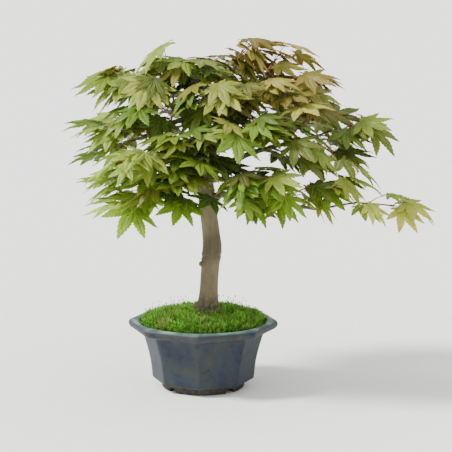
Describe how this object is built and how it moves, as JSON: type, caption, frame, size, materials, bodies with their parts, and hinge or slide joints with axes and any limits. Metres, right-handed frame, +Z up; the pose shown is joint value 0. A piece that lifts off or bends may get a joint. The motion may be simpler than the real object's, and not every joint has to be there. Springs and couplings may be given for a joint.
{
  "type": "bonsai tree in a pot",
  "caption": "Japanese maple bonsai with a spreading leafy crown, rooted under moss in an octagonal glazed pot on four low feet.",
  "frame": {"origin": "on the surface that the pot stands on, below the middle of the whole plant's box", "axes": "+Z up along the trunk; +X to the right along the crown's widest spread, with the crown's low long shoot at the +X end; -Y towards the viewer and the pot's front corner"},
  "size_m": [0.422, 0.2994, 0.3956],
  "materials": {
    "glaze": "satin",
    "screen_plastic": "matte",
    "clip_wire": "satin",
    "soil": "matte",
    "moss": "matte",
    "bark": "matte",
    "leaf": "satin"
  },
  "bodies": {
    "root": {"pot": "glaze", "drain_screen_left": "screen_plastic", "drain_screen_right": "screen_plastic", "screen_clip_left": "clip_wire", "screen_clip_right": "clip_wire", "soil": "soil", "moss": "moss", "trunk": "bark", "limb_back": "bark", "limb_back_left": "bark", "limb_back_right": "bark", "limb_front_left": "bark", "limb_front_low": "bark", "limb_front_right": "bark", "limb_left_high": "bark", "limb_left_low": "bark", "limb_left_mid": "bark", "limb_right_high": "bark", "limb_right_low": "bark", "limb_right_mid": "bark", "limb_top": "bark", "shoot_back": "leaf", "shoot_back_left": "leaf", "shoot_back_left_high": "leaf", "shoot_back_left_low": "leaf", "shoot_back_right": "leaf", "shoot_back_right_high": "leaf", "shoot_front_crown": "leaf", "shoot_front_left": "leaf", "shoot_front_left_low": "leaf", "shoot_front_low": "leaf", "shoot_front_low_left": "leaf", "shoot_front_middle": "leaf", "shoot_front_right": "leaf", "shoot_front_right_tip": "leaf", "shoot_top_front": "leaf", "shoot_left_crown": "leaf", "shoot_left_crown_back": "leaf", "shoot_left_crown_front": "leaf", "shoot_left_hanging": "leaf", "shoot_left_near": "leaf", "shoot_left_peak": "leaf", "shoot_left_shoulder": "leaf", "shoot_left_shoulder_front": "leaf", "shoot_left_shoulder_low": "leaf", "shoot_left_under": "leaf", "shoot_right_arm": "leaf", "shoot_right_arm_back": "leaf", "shoot_right_arm_front": "leaf", "shoot_right_arm_low": "leaf", "shoot_right_crown": "leaf", "shoot_right_crown_front": "leaf", "shoot_right_crown_low": "leaf", "shoot_right_near": "leaf", "shoot_right_peak": "leaf", "shoot_right_rise": "leaf", "shoot_right_tip": "leaf", "shoot_right_under": "leaf", "shoot_top": "leaf", "shoot_top_back": "leaf"}
  },
  "joints": []
}
